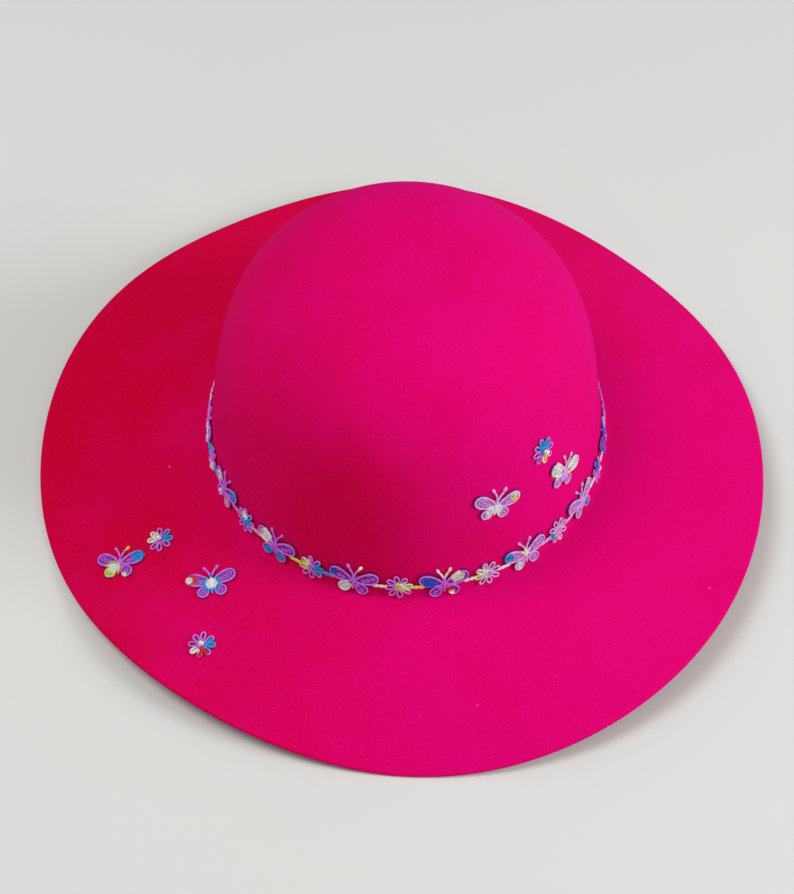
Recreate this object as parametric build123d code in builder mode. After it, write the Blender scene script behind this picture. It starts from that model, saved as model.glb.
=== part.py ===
from build123d import *
import math
import os

# A wide-brimmed floppy hat of wool felt, lying on its brim as on a table.
# +X is the wearer's side, -Y the front, +Z up. The table is Z = 0, and the origin is the
# middle of the brim's outline on the table. Millimetres.
os.makedirs("parts", exist_ok=True)

# ---- Felt body: one piece of felt, blocked into a round crown and a wide soft brim ----
felt_thickness = 2.2
crown_half_width = 91.9      # across the head, outside the wall where it meets the brim
crown_half_length = 98.1     # front to back, measured the same way
crown_height = 106.0         # top of the crown above the brim break
crown_centre_x = 3.4         # where the crown stands in the brim's outline
crown_centre_y = -1.5
wall_lean = 0.15             # share of the half width that the wall draws in by the top
shoulder_squareness = 5.0    # higher keeps the wall straight for longer
top_roundness = 2.8          # higher makes the top flatter
break_height = 24.5          # upper face of the felt where crown and brim meet
break_run = 4.5              # how far the rounded break reaches up the wall and out
brim_width = 77.8
brim_slope = -0.18           # fall of the brim per millimetre as it leaves the crown
edge_height = 9.2            # mean height of the brim's upper edge
edge_swells = [              # waves of the edge round the hat: how many, height, direction
    (1, 2.0, 43),
    (2, 4.6, -35),
    (3, 3.35, -11.6),
    (4, 1.9, -25),
    (5, 2.45, 14.8),
]
edge_flares = [              # uneven width of the brim: how many lobes, width, direction
    (1, 1.6, 121),
    (2, 1.3, -25),
    (3, 2.6, -58),
]

# ---- Sweatband: grosgrain ribbon sewn in round the inside of the crown's wall ----
ribbon_thickness = 0.8
ribbon_height = 30.0
ribbon_rise = 1.5            # lower edge above the brim break
ribbon_clearance = 0.2       # between the felt and the ribbon
tab_width = 14.0             # short ribbon that covers the butted ends at the back
stitch_count = 96
stitch_length = 3.2
stitch_diameter = 0.5
stitch_rise = 2.5            # above the ribbon's lower edge
stitch_clearance = 0.05
tab_clearance = 0.1

# ---- Lace trim: butterflies and flowers in turn, joined by short bars ----
motif_pairs = 15
lace_thickness = 1.1
trim_rise = 7.6              # middle of the motifs above the brim break
trim_clearance = 0.8         # behind the middle of a motif, to the wall
trim_tilt = 12.0             # degrees that the lace leans in towards the wall at its top
trim_start = 0.044           # where the first butterfly sits, as a share of the way round
bar_width = 1.5
bar_thickness = 0.9
bar_gap = 0.2                # between a bar's end and the petals it is sewn to
bar_butterfly_reach = 9.4    # where a bar starts under the wing, out from the body

# Butterfly, laid flat: wings spread along X, antennae towards +Y
forewing_length = 11.4
forewing_width = 5.6
forewing_spread = 5.6        # middle of the forewing out from the body
forewing_raise = 1.7
forewing_turn = 24.0
hindwing_length = 6.4
hindwing_width = 4.8
hindwing_spread = 3.6
hindwing_drop = 3.5
hindwing_turn = -50.0
body_length = 9.6
body_width = 2.2
eyelet_radius = 0.6
antenna_reach = 3.1
antenna_height = 8.4
antenna_width = 1.0
antenna_knob = 0.85
body_padding = 0.5           # how far the body stands above the wings

# Flower, laid flat: eight looped petals round a ring
petal_count = 8
petal_length = 4.6
petal_width = 2.7
petal_reach = 3.95           # middle of a petal out from the flower's middle
petal_slit_length = 2.2
petal_slit_width = 0.6
flower_ring = 2.3
flower_eye = 0.8

# ---- Loose appliques and beads, sewn on one at a time ----
applique_clearance = 0.5
bead_radius = 1.5
bead_hole = 0.35
bead_clearance = 0.05


# ------------------------------------------------------------------ shape of the felt
def crown_face(angle, rise):
    """Outer face of the crown, `rise` above the brim break."""
    share = rise / crown_height
    inset = 1 - wall_lean * share
    dome = (1 - share**shoulder_squareness) ** (1 / top_roundness)
    x = crown_half_width * inset * dome * math.cos(angle)
    y = crown_half_length * inset * dome * math.sin(angle)
    return Vector(crown_centre_x + x, crown_centre_y + y, break_height + rise)


def swell(lobes, angle):
    """Sum of the waves in a list, at an angle round the hat."""
    return sum(
        size * math.cos(count * (angle - math.radians(direction)))
        for count, size, direction in lobes
    )


def brim_face(angle, share):
    """Upper face of the brim, from the crown (share 0) to the cut edge (share 1)."""
    width = brim_width + swell(edge_flares, angle)
    out = width * share
    edge = edge_height + swell(edge_swells, angle)
    bend = edge - break_height - brim_slope * width
    x = (crown_half_width + out) * math.cos(angle)
    y = (crown_half_length + out) * math.sin(angle)
    z = break_height + brim_slope * out + bend * share**2
    return Vector(crown_centre_x + x, crown_centre_y + y, z)


def break_face(angle, share):
    """Rounded break, from the wall (share 0) out to the brim (share 1)."""
    wall = crown_face(angle, break_run)
    corner = crown_face(angle, 0)
    brim = brim_face(angle, break_run / brim_width)
    return wall * (1 - share) ** 2 + corner * (2 * share * (1 - share)) + brim * share**2


def felt_normal(face, angle, run):
    """Direction out of the felt's outer face at a point."""
    step = 0.001
    along = face(angle, run + step) - face(angle, run - step)
    around = face(angle + step, run) - face(angle - step, run)
    normal = along.cross(around).normalized()
    return normal if normal.Z > 0 else -normal


def felt_point(face, angle, run, depth):
    """Point `depth` under the felt's outer face."""
    return face(angle, run) - felt_normal(face, angle, run) * depth


ring_points = 40
top_step = 2                                            # degrees, edge of the flat top
dome_steps = [6, 13, 20, 28, 37, 46, 56, 66, 76]        # degrees down from the top
wall_shares = [0.47, 0.34, 0.21, 0.1]                   # of the crown's height
break_shares = [0.0, 0.25, 0.5, 0.75]
brim_shares = [0.13, 0.25, 0.4, 0.55, 0.7, 0.85, 1.0]


def felt_ring(face, run, depth):
    """Closed line round the hat at one place on the felt's section."""
    points = [
        felt_point(face, math.radians(360 * i / ring_points), run, depth)
        for i in range(ring_points)
    ]
    return Wire([Edge.make_spline(points, periodic=True)])


def dome_rise(degrees):
    """Height of a ring on the dome, closer together towards the top."""
    return crown_height * math.cos(math.radians(degrees)) ** (2 / shoulder_squareness)


def felt_skin(depth):
    """One side of the felt, from the top of the crown to the brim's edge, and its edge."""
    top = felt_ring(crown_face, dome_rise(top_step), 0).moved(Location((0, 0, -depth)))
    rings = [top]
    rings += [felt_ring(crown_face, dome_rise(step), depth) for step in dome_steps]
    rings += [felt_ring(crown_face, crown_height * share, depth) for share in wall_shares]
    rings += [felt_ring(break_face, share, depth) for share in break_shares]
    rings += [felt_ring(brim_face, break_run / brim_width, depth)]
    rings += [felt_ring(brim_face, share, depth) for share in brim_shares]
    return Shell.make_loft(rings).faces() + [Face(top)], rings[-1]


outer_skin, outer_edge = felt_skin(0)
inner_skin, inner_edge = felt_skin(felt_thickness)
cut_edge = Shell.make_loft([outer_edge, inner_edge], ruled=True).faces()
felt_solid = Solid(Shell(outer_skin + inner_skin + cut_edge))

# The brim rests on the table at its three low places, pressed to small flats.
with BuildPart() as felt_body:
    add(felt_solid)
    Box(
        3 * (crown_half_width + brim_width),
        3 * (crown_half_length + brim_width),
        2 * break_height,
        align=(Align.CENTER, Align.CENTER, Align.MAX),
        mode=Mode.SUBTRACT,
    )
felt_body.part.label = "felt_body"
export_step(felt_body.part, "parts/felt_body.step")


# ------------------------------------------------------------------ sweatband
ribbon_depth = felt_thickness + ribbon_clearance
tab_depth = ribbon_depth + ribbon_thickness + tab_clearance
stitch_depth = ribbon_depth + ribbon_thickness + stitch_clearance + stitch_diameter / 2


def draw_inside_wall(rise, depth):
    """Oval that lies `depth` inside the crown's outer face, at one height."""
    side = crown_face(0, rise).X - crown_centre_x - depth
    front = crown_face(math.pi / 2, rise).Y - crown_centre_y - depth
    with Locations((crown_centre_x, crown_centre_y)):
        Ellipse(side, front)


def build_ribbon(depth, name, span):
    """Ribbon standing `depth` inside the crown's outer face, over a span across the back."""
    with BuildPart() as ribbon:
        for inset, mode in ((depth, Mode.ADD), (depth + ribbon_thickness, Mode.SUBTRACT)):
            for rise in (ribbon_rise, ribbon_rise + ribbon_height):
                with BuildSketch(Plane.XY.offset(break_height + rise)):
                    draw_inside_wall(rise, inset)
            loft(mode=mode)
        if span:
            with Locations((crown_centre_x, crown_centre_y + crown_half_length, break_height)):
                Box(span, crown_half_length, 4 * ribbon_height, mode=Mode.INTERSECT)
    ribbon.part.label = name
    export_step(ribbon.part, f"parts/{name}.step")


build_ribbon(ribbon_depth, "sweatband", None)
build_ribbon(tab_depth, "sweatband_tab", tab_width)

with BuildSketch(Plane.XY.offset(break_height + ribbon_rise + stitch_rise)) as stitch_oval:
    draw_inside_wall(ribbon_rise + stitch_rise, stitch_depth)
stitch_line = stitch_oval.sketch.edges()[0]

with BuildPart() as sweatband_stitches:
    for i in range(stitch_count):
        share = i / stitch_count
        middle = stitch_line.position_at(share)
        beside_tab = abs(middle.X - crown_centre_x) > (tab_width + stitch_length) / 2
        if beside_tab or middle.Y < crown_centre_y:
            with Locations(Plane(origin=middle, z_dir=stitch_line.tangent_at(share))):
                Cylinder(stitch_diameter / 2, stitch_length)
sweatband_stitches.part.label = "sweatband_stitches"
export_step(sweatband_stitches.part, "parts/sweatband_stitches.step")


# ------------------------------------------------------------------ lace motifs
def draw_butterfly():
    """Outline of an embroidered butterfly with its eyelets, drawn in a sketch."""
    for side in (1, -1):
        with Locations((side * forewing_spread, forewing_raise)):
            Ellipse(forewing_length / 2, forewing_width / 2, side * forewing_turn)
        with Locations((side * hindwing_spread, -hindwing_drop)):
            Ellipse(hindwing_length / 2, hindwing_width / 2, side * hindwing_turn)
        feeler = math.degrees(math.atan2(antenna_height, antenna_reach))
        with Locations((side * antenna_reach / 2, antenna_height / 2)):
            reach = math.hypot(antenna_reach, antenna_height)
            SlotOverall(reach, antenna_width, rotation=90 - side * (90 - feeler))
        with Locations((side * antenna_reach, antenna_height)):
            Circle(antenna_knob)
        wing = math.radians(forewing_turn)
        for step in (-0.2, 0.1, 0.36):
            out = forewing_spread + step * forewing_length * math.cos(wing)
            up = forewing_raise + step * forewing_length * math.sin(wing) - eyelet_radius
            with Locations((side * out, up)):
                Circle(eyelet_radius, mode=Mode.SUBTRACT)
        with Locations((side * hindwing_spread, -hindwing_drop)):
            Circle(eyelet_radius, mode=Mode.SUBTRACT)
    Ellipse(body_width / 2, body_length / 2)


def build_butterfly(plane, name):
    """One lace butterfly laid on a plane, with its padded body standing proud."""
    with BuildPart() as butterfly:
        with BuildSketch(plane):
            draw_butterfly()
        extrude(amount=lace_thickness)
        with BuildSketch(plane):
            Ellipse(body_width / 2, body_length / 2)
        extrude(amount=lace_thickness + body_padding)
    butterfly.part.label = name
    export_step(butterfly.part, f"parts/{name}.step")


def build_flower(plane, name):
    """One lace flower laid on a plane: looped petals round a ring."""
    with BuildPart() as flower:
        with BuildSketch(plane):
            with PolarLocations(petal_reach, petal_count):
                Ellipse(petal_length / 2, petal_width / 2)
                Ellipse(petal_slit_length / 2, petal_slit_width / 2, mode=Mode.SUBTRACT)
            Circle(flower_ring)
            Circle(flower_eye, mode=Mode.SUBTRACT)
        extrude(amount=lace_thickness)
    flower.part.label = name
    export_step(flower.part, f"parts/{name}.step")


# ------------------------------------------------------------------ lace trim
trim_middle = crown_face(0, trim_rise)
trim_side = trim_middle.X - crown_centre_x + trim_clearance
trim_front = crown_face(math.pi / 2, trim_rise).Y - crown_centre_y + trim_clearance
with BuildSketch(Plane.XY.offset(break_height + trim_rise)) as trim_oval:
    with Locations((crown_centre_x, crown_centre_y)):
        Ellipse(trim_side, trim_front)
trim_line = trim_oval.sketch.edges()[0]


def trim_plane(share):
    """Plane at the back of the lace, part of the way round the crown from its +X side."""
    tilt = math.radians(trim_tilt)
    along = trim_line.tangent_at(share % 1)
    outward = along.cross(Vector(0, 0, 1))
    facing = outward * math.cos(tilt) + Vector(0, 0, 1) * math.sin(tilt)
    return Plane(origin=trim_line.position_at(share % 1), x_dir=along, z_dir=facing)


motif_pitch = trim_line.length / (2 * motif_pairs)
for pair in range(motif_pairs):
    share = trim_start + pair / motif_pairs
    build_butterfly(trim_plane(share), f"trim_butterfly_{pair + 1:02d}")
    build_flower(trim_plane(share + 0.5 / motif_pairs), f"trim_flower_{pair + 1:02d}")

# A bar runs from under each wing to the next flower's petals, and on to the next wing.
bar_start = bar_butterfly_reach
bar_end = motif_pitch - (petal_reach + petal_length / 2) - bar_gap
bar_middle = (bar_start + bar_end) / 2 / trim_line.length
with BuildPart() as trim_bridging_bars:
    for pair in range(motif_pairs):
        for side in (1, -1):
            share = trim_start + pair / motif_pairs + side * bar_middle
            with BuildSketch(trim_plane(share)):
                Rectangle(bar_end - bar_start, bar_width)
            extrude(amount=bar_thickness)
trim_bridging_bars.part.label = "trim_bridging_bars"
export_step(trim_bridging_bars.part, "parts/trim_bridging_bars.step")


# ------------------------------------------------------------------ loose appliques
def felt_plane(face, angle, run, uphill, turn):
    """Plane just off the felt, its Y axis uphill to the crown's top, then turned."""
    angle = math.radians(angle)
    normal = felt_normal(face, angle, run)
    climb = (face(angle, run + uphill) - face(angle, run)).normalized()
    across = climb.cross(normal).normalized()
    turn = math.radians(turn)
    x_dir = across * math.cos(turn) + normal.cross(across) * math.sin(turn)
    origin = face(angle, run) + normal * applique_clearance
    return Plane(origin=origin, x_dir=x_dir, z_dir=normal)


def brim_plane(angle, out, turn):
    """Place on the brim, `out` from the crown."""
    return felt_plane(brim_face, angle, out / brim_width, -0.01, turn)


def crown_plane(angle, rise, turn):
    """Place on the crown's wall, `rise` above the brim break."""
    return felt_plane(crown_face, angle, rise, 0.1, turn)


def build_bead(plane, name):
    """Round bead drilled for its thread, sitting in a flower's eye."""
    seat = math.sqrt(bead_radius**2 - flower_eye**2) + bead_clearance
    middle = plane.offset(lace_thickness + seat).origin
    with BuildPart() as bead:
        with Locations(Plane(origin=middle, z_dir=plane.x_dir)):
            Sphere(bead_radius)
            Cylinder(bead_hole, 3 * bead_radius, mode=Mode.SUBTRACT)
    bead.part.label = name
    export_step(bead.part, f"parts/{name}.step")


build_butterfly(brim_plane(208, 54.5, 58), "brim_butterfly_1")
build_butterfly(brim_plane(224, 28.0, 52), "brim_butterfly_2")
build_butterfly(crown_plane(296, 45.0, -15), "crown_butterfly_1")
build_butterfly(crown_plane(321.5, 37.0, -27), "crown_butterfly_2")

flower_places = {
    "brim_flower_1": brim_plane(208, 34.0, 10),
    "brim_flower_2": brim_plane(231.5, 51.0, 20),
    "crown_flower_1": crown_plane(314, 59.0, -10),
}
for name, plane in flower_places.items():
    build_flower(plane, name)
    build_bead(plane, name.replace("flower", "bead"))
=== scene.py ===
import math

import bpy
import numpy as np
from mathutils import Matrix, Vector


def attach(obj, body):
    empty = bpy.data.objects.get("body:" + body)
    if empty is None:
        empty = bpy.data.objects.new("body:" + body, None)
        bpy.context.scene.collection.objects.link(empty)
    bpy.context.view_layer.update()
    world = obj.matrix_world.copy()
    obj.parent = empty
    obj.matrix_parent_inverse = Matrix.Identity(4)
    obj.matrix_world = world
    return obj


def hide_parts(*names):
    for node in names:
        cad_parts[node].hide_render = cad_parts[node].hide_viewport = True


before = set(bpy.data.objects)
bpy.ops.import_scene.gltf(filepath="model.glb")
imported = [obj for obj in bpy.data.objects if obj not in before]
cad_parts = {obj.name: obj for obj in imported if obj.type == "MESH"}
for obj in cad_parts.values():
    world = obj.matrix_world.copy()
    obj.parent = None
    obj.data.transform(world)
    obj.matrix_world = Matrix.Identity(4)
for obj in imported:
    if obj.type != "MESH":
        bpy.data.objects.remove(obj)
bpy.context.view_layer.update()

# ============================================================ camera
# A long lens on a tripod looks down at the hat as it lies on a table, with the front of the
# brim nearest. The tilt is in radians below the horizon and the distance is in metres.
camera_tilt = 0.8867
camera_distance = 0.8745
camera_target = Vector((-0.0009, -0.0211, 0.0320))
camera_data = bpy.data.cameras.new("camera")
camera_data.sensor_fit = "AUTO"
camera_data.sensor_width = 36.0
camera_data.lens = 76.5
camera = bpy.data.objects.new("camera", camera_data)
bpy.context.scene.collection.objects.link(camera)
back = Vector((0.0, -math.cos(camera_tilt), math.sin(camera_tilt)))
right = Vector((1.0, 0.0, 0.0))
up = back.cross(right)
turn = Matrix((right, up, back)).transposed().to_4x4()
camera.matrix_world = Matrix.Translation(camera_target + back * camera_distance) @ turn
bpy.context.scene.camera = camera

# ============================================================ felt body
# The hat is one piece of wool felt, steamed over a block into a domed crown and a wide brim.
# The brim's edge is cut raw, and its weight has let it fall into slow waves.
felt_thickness = 0.0022
crown_x, crown_y = 0.0034, -0.0015
half_width, half_length = 0.0919, 0.0981
crown_height = 0.1060
wall_lean = 0.15
shoulder_squareness = 5.0
top_roundness = 2.8
break_height = 0.0245
break_run = 0.0045
brim_width = 0.0778
brim_slope = -0.18
edge_height = 0.0092
edge_swells = [(1, 0.0020, 43), (2, 0.0046, -35), (3, 0.00335, -11.6),
               (4, 0.0019, -25), (5, 0.00245, 14.8)]
edge_flares = [(1, 0.0016, 121), (2, 0.0013, -25), (3, 0.0026, -58)]
hand_waves = [(0.00016, 5, 2.1, 0.4), (0.00010, 9, -3.6, 1.9), (0.00005, 13, 5.0, 3.1)]


def lobes(waves, angle):
    return sum(size * np.cos(count * (angle - math.radians(d))) for count, size, d in waves)


def hand_worked(angle, out):
    """The slight unevenness that steam and fingers leave in felt, in metres."""
    return sum(size * np.sin(count * angle + rate * out * 10 + start)
               for size, count, rate, start in hand_waves)


def crown_inset(rise):
    share = np.clip(rise / crown_height, 0.0, 1.0)
    return (1 - wall_lean * share) * (1 - share**shoulder_squareness) ** (1 / top_roundness)


def crown_point(angle, rise):
    """Outer face of the crown, at a height above the brim break."""
    inset = crown_inset(rise)
    x = crown_x + half_width * inset * np.cos(angle)
    y = crown_y + half_length * inset * np.sin(angle)
    return np.stack([x, y, break_height + rise + 0 * x], -1)


def brim_rise(angle, out):
    """Height of the brim's upper face, some way out from the crown."""
    width = brim_width + lobes(edge_flares, angle)
    bend = edge_height + lobes(edge_swells, angle) - break_height - brim_slope * width
    share = out / width
    settle = hand_worked(angle, out) * np.clip(share * 2.5, 0, 1)
    return break_height + brim_slope * out + bend * share**2 + settle


def brim_point(angle, out):
    x = crown_x + (half_width + out) * np.cos(angle)
    y = crown_y + (half_length + out) * np.sin(angle)
    return np.stack([x, y, brim_rise(angle, out)], -1)


def new_mesh(name, points, faces, colours=None, smooth=True):
    """Mesh object from plain arrays, with an optional colour for each point."""
    mesh = bpy.data.meshes.new(name)
    mesh.from_pydata([tuple(p) for p in np.asarray(points, float)], [], faces)
    mesh.update()
    if colours is not None:
        layer = mesh.color_attributes.new("thread", "FLOAT_COLOR", "POINT")
        full = np.ones((len(points), 4), np.float32)
        full[:, :3] = colours
        layer.data.foreach_set("color", full.ravel())
    if smooth:
        mesh.polygons.foreach_set("use_smooth", [True] * len(mesh.polygons))
    piece = bpy.data.objects.new(name, mesh)
    bpy.context.scene.collection.objects.link(piece)
    return piece


def ring_faces(rows, columns, closed_rows=False):
    """Quads between rings of points, each ring closed on itself."""
    faces = []
    for r in range(rows if closed_rows else rows - 1):
        a, b = r * columns, ((r + 1) % rows) * columns
        faces += [(a + c, a + (c + 1) % columns, b + (c + 1) % columns, b + c)
                  for c in range(columns)]
    return faces


felt_columns = 320
crown_rings, wall_rings, break_rings, brim_rings = 44, 18, 8, 56
top_degrees, shoulder_degrees = 1.2, 80      # first and last ring of the dome
edge_bevel = 0.0005                          # the cut edge is a little rounded,
edge_reach = 0.0004                          # and stands out past the last ring
felt_angles = np.linspace(0, 2 * np.pi, felt_columns, endpoint=False)


def felt_section(angle):
    """Upper face along one line from the crown's top to the brim's edge."""
    rows = []
    for degrees in np.linspace(top_degrees, shoulder_degrees, crown_rings):
        rise = crown_height * math.cos(math.radians(degrees)) ** (2 / shoulder_squareness)
        rows.append(crown_point(angle, rise))
    lowest = crown_height * math.cos(math.radians(shoulder_degrees)) ** (2 / shoulder_squareness)
    for rise in np.linspace(lowest, break_run, wall_rings)[1:]:
        rows.append(crown_point(angle, rise))
    wall, corner = crown_point(angle, break_run), crown_point(angle, 0.0)
    brim = brim_point(angle, break_run)
    for t in np.linspace(0, 1, break_rings)[1:]:
        rows.append(wall * (1 - t) ** 2 + corner * 2 * t * (1 - t) + brim * t**2)
    width = brim_width + lobes(edge_flares, angle)
    for share in np.linspace(0, 1, brim_rings)[1:]:
        rows.append(brim_point(angle, break_run + (width - break_run) * share))
    return np.stack(rows)


def grid_normals(grid):
    """Outward normals of a ring grid."""
    along = np.gradient(grid, axis=0)
    around = np.roll(grid, -1, axis=1) - np.roll(grid, 1, axis=1)
    normals = np.cross(along, around)
    return normals / np.linalg.norm(normals, axis=-1, keepdims=True)


def build_felt():
    """Both faces of the felt, joined at the brim's edge and closed at the top of the crown."""
    upper = felt_section(felt_angles)
    normals = grid_normals(upper)
    lower = upper - normals * felt_thickness
    outward = upper[-1] - upper[-2]
    outward /= np.linalg.norm(outward, axis=-1, keepdims=True)
    lip_top = upper[-1] + outward * edge_reach - normals[-1] * edge_bevel
    lip_low = lower[-1] + outward * edge_reach + normals[-1] * edge_bevel
    rings = np.concatenate([upper, lip_top[None], lip_low[None], lower[::-1]])
    rings[..., 2] = np.maximum(rings[..., 2], 0.0)
    points = rings.reshape(-1, 3)
    faces = ring_faces(len(rings), felt_columns)
    top = [crown_x, crown_y, break_height + crown_height]
    inside = [crown_x, crown_y, break_height + crown_height - felt_thickness]
    points = np.concatenate([points, [top], [inside]])
    last = (len(rings) - 1) * felt_columns
    for c in range(felt_columns):
        step = (c + 1) % felt_columns
        faces.append((len(points) - 2, step, c))
        faces.append((len(points) - 1, last + c, last + step))
    return new_mesh("felt_hat_body", points, faces)


def make_felt_group():
    """Nap of wool felt: fibre grain, cloudy dye and lint, with painted light and shade: pinker on the
    lamp's side and deeper red away from it.
    """
    group = bpy.data.node_groups.new("felt_nap_and_painted_light", "ShaderNodeTree")
    group.interface.new_socket("Dye", in_out="INPUT", socket_type="NodeSocketColor")
    group.interface.new_socket("Deep Dye And Painted Shade", in_out="INPUT", socket_type="NodeSocketColor")
    group.interface.new_socket("Grain", in_out="INPUT", socket_type="NodeSocketFloat")
    group.interface.new_socket("Color", in_out="OUTPUT", socket_type="NodeSocketColor")
    group.interface.new_socket("Roughness", in_out="OUTPUT", socket_type="NodeSocketFloat")
    group.interface.new_socket("Height", in_out="OUTPUT", socket_type="NodeSocketFloat")
    nodes, links = group.nodes, group.links
    inputs, outputs = nodes.new("NodeGroupInput"), nodes.new("NodeGroupOutput")
    place = nodes.new("ShaderNodeTexCoord")
    grain = nodes.new("ShaderNodeTexNoise")
    links.new(inputs.outputs["Grain"], grain.inputs["Scale"])
    grain.inputs["Detail"].default_value = 6.0
    grain.inputs["Roughness"].default_value = 0.72
    links.new(place.outputs["Object"], grain.inputs["Vector"])
    cloud = nodes.new("ShaderNodeTexNoise")
    cloud.inputs["Scale"].default_value = 26.0
    cloud.inputs["Detail"].default_value = 4.0
    links.new(place.outputs["Object"], cloud.inputs["Vector"])
    fibre = nodes.new("ShaderNodeTexNoise")
    fibre.inputs["Scale"].default_value = 340.0
    fibre.inputs["Detail"].default_value = 3.0
    fibre.inputs["Distortion"].default_value = 2.2
    links.new(place.outputs["Object"], fibre.inputs["Vector"])
    mixed = nodes.new("ShaderNodeMath")
    mixed.operation = "MULTIPLY_ADD"
    mixed.inputs[1].default_value = 0.55
    links.new(grain.outputs["Fac"], mixed.inputs[0])
    share = nodes.new("ShaderNodeMath")
    share.operation = "MULTIPLY"
    share.inputs[1].default_value = 0.45
    links.new(cloud.outputs["Fac"], share.inputs[0])
    links.new(share.outputs[0], mixed.inputs[2])
    spread = nodes.new("ShaderNodeMapRange")
    spread.inputs["From Min"].default_value = 0.40
    spread.inputs["From Max"].default_value = 0.60
    links.new(mixed.outputs[0], spread.inputs["Value"])
    # Painted light: the felt turns pinker towards the right, front and top of the hat, on the lamp's
    # side.
    across = nodes.new("ShaderNodeVectorMath")
    across.operation = "DOT_PRODUCT"
    across.inputs[1].default_value = (0.80, -0.50, 0.45)
    links.new(place.outputs["Object"], across.inputs[0])
    lamp_side_mask = nodes.new("ShaderNodeMapRange")
    lamp_side_mask.inputs["From Min"].default_value = -0.12
    lamp_side_mask.inputs["From Max"].default_value = 0.13
    links.new(across.outputs["Value"], lamp_side_mask.inputs["Value"])
    # Painted light: faces turned right and up, towards the lamps, also turn pinker.
    facing = nodes.new("ShaderNodeVectorMath")
    facing.operation = "DOT_PRODUCT"
    facing.inputs[1].default_value = (0.50, 0.25, 0.60)
    links.new(place.outputs["Normal"], facing.inputs[0])
    upward = nodes.new("ShaderNodeMapRange")
    upward.inputs["From Min"].default_value = -0.42
    upward.inputs["From Max"].default_value = 0.16
    upward.inputs["To Min"].default_value = 0.12
    links.new(facing.outputs["Value"], upward.inputs["Value"])
    # Painted light and shade: the two masks pick the lit dye or its darker copy, and the grain and cloud
    # mottle the choice at random.
    painted_light_mask = nodes.new("ShaderNodeMath")
    painted_light_mask.operation = "MULTIPLY"
    links.new(lamp_side_mask.outputs[0], painted_light_mask.inputs[0])
    links.new(upward.outputs[0], painted_light_mask.inputs[1])
    grain_and_painted_light = nodes.new("ShaderNodeMath")
    grain_and_painted_light.operation = "MULTIPLY_ADD"
    grain_and_painted_light.use_clamp = True
    grain_and_painted_light.inputs[1].default_value = 0.44
    links.new(spread.outputs[0], grain_and_painted_light.inputs[0])
    eased = nodes.new("ShaderNodeMath")
    eased.operation = "SUBTRACT"
    eased.inputs[1].default_value = 0.22
    links.new(painted_light_mask.outputs[0], eased.inputs[0])
    links.new(eased.outputs[0], grain_and_painted_light.inputs[2])
    dye = nodes.new("ShaderNodeMix")
    dye.data_type = "RGBA"
    links.new(grain_and_painted_light.outputs[0], dye.inputs["Factor"])
    links.new(inputs.outputs["Deep Dye And Painted Shade"], dye.inputs["A"])
    links.new(inputs.outputs["Dye"], dye.inputs["B"])
    lint = nodes.new("ShaderNodeTexVoronoi")
    lint.inputs["Scale"].default_value = 58.0
    links.new(place.outputs["Object"], lint.inputs["Vector"])
    speck = nodes.new("ShaderNodeMapRange")
    speck.inputs["From Min"].default_value = 0.040
    speck.inputs["From Max"].default_value = 0.020
    links.new(lint.outputs["Distance"], speck.inputs["Value"])
    chance = nodes.new("ShaderNodeSeparateColor")
    links.new(lint.outputs["Color"], chance.inputs["Color"])
    rare = nodes.new("ShaderNodeMath")
    rare.operation = "GREATER_THAN"
    rare.inputs[1].default_value = 0.76
    links.new(chance.outputs["Red"], rare.inputs[0])
    here = nodes.new("ShaderNodeMath")
    here.operation = "MULTIPLY"
    links.new(speck.outputs[0], here.inputs[0])
    links.new(rare.outputs[0], here.inputs[1])
    faint = nodes.new("ShaderNodeMath")
    faint.operation = "MULTIPLY"
    faint.inputs[1].default_value = 0.42
    links.new(here.outputs[0], faint.inputs[0])
    linted = nodes.new("ShaderNodeMix")
    linted.data_type = "RGBA"
    linted.inputs["B"].default_value = (0.85, 0.30, 0.42, 1)
    links.new(faint.outputs[0], linted.inputs["Factor"])
    fleck = nodes.new("ShaderNodeMapRange")
    fleck.inputs["From Min"].default_value = 0.34
    fleck.inputs["From Max"].default_value = 0.66
    fleck.inputs["To Min"].default_value = 0.88
    fleck.inputs["To Max"].default_value = 1.09
    links.new(grain.outputs["Fac"], fleck.inputs["Value"])
    flecked = nodes.new("ShaderNodeVectorMath")
    flecked.operation = "SCALE"
    links.new(dye.outputs["Result"], flecked.inputs[0])
    links.new(fleck.outputs[0], flecked.inputs["Scale"])
    links.new(flecked.outputs[0], linted.inputs["A"])
    links.new(linted.outputs["Result"], outputs.inputs["Color"])
    rough = nodes.new("ShaderNodeMapRange")
    rough.inputs["To Min"].default_value = 0.82
    rough.inputs["To Max"].default_value = 0.96
    links.new(grain.outputs["Fac"], rough.inputs["Value"])
    links.new(rough.outputs[0], outputs.inputs["Roughness"])
    height = nodes.new("ShaderNodeMath")
    height.operation = "ADD"
    links.new(grain.outputs["Fac"], height.inputs[0])
    links.new(fibre.outputs["Fac"], height.inputs[1])
    links.new(height.outputs[0], outputs.inputs["Height"])
    return group


felt_nap_and_painted_light = make_felt_group()


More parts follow.
